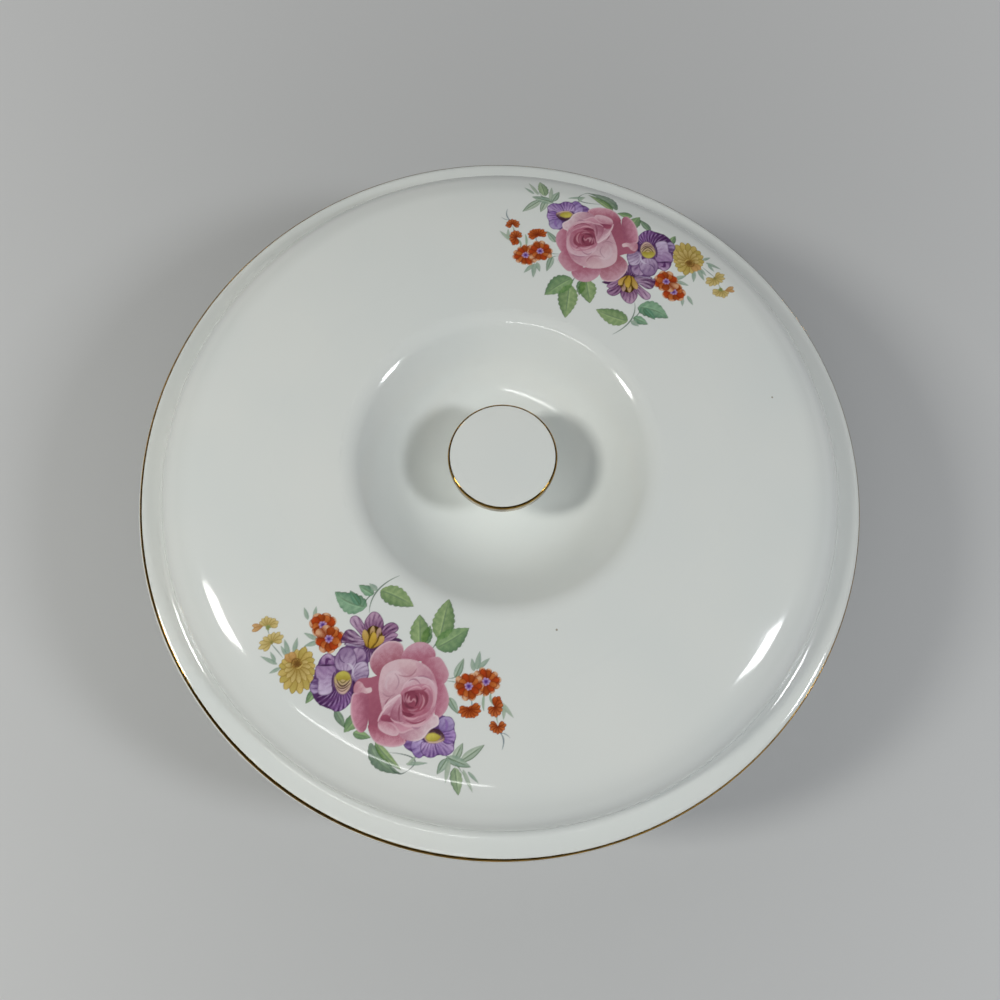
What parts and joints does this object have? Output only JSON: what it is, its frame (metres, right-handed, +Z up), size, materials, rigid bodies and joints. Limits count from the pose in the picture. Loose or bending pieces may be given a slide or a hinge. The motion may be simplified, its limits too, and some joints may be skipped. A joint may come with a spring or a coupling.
{
  "type": "covered serving bowl",
  "caption": "Round footed serving bowl of glazed earthenware; its lift-off lid has a flat flange, a low dome and a sunk well round a disc knob, and gold-lined edges.",
  "frame": {"origin": "centre of the foot ring, on the surface that the bowl stands on", "axes": "+Z up along the axis that every piece is turned on; +X to the right and -Y towards the viewer of the reference picture"},
  "size_m": [0.23, 0.23, 0.0978],
  "materials": {
    "glazed_earthenware": "glossy clear glaze over an ivory white body",
    "bright_gold": "burnished bright gold line, fired on over the glaze",
    "spray_enamel": "printed flower enamels fired on the glaze"
  },
  "bodies": {
    "bowl": {"bowl": "glazed_earthenware"},
    "lid": {"lid": "glazed_earthenware", "knob": "glazed_earthenware", "lid_edge_gilding": "bright_gold", "knob_edge_gilding": "bright_gold"}
  },
  "joints": [
    {"name": "lid_lift", "type": "slide", "parent": "bowl", "child": "lid", "axis": [0, 0, 1], "range_m": [0, 0.12]}
  ]
}
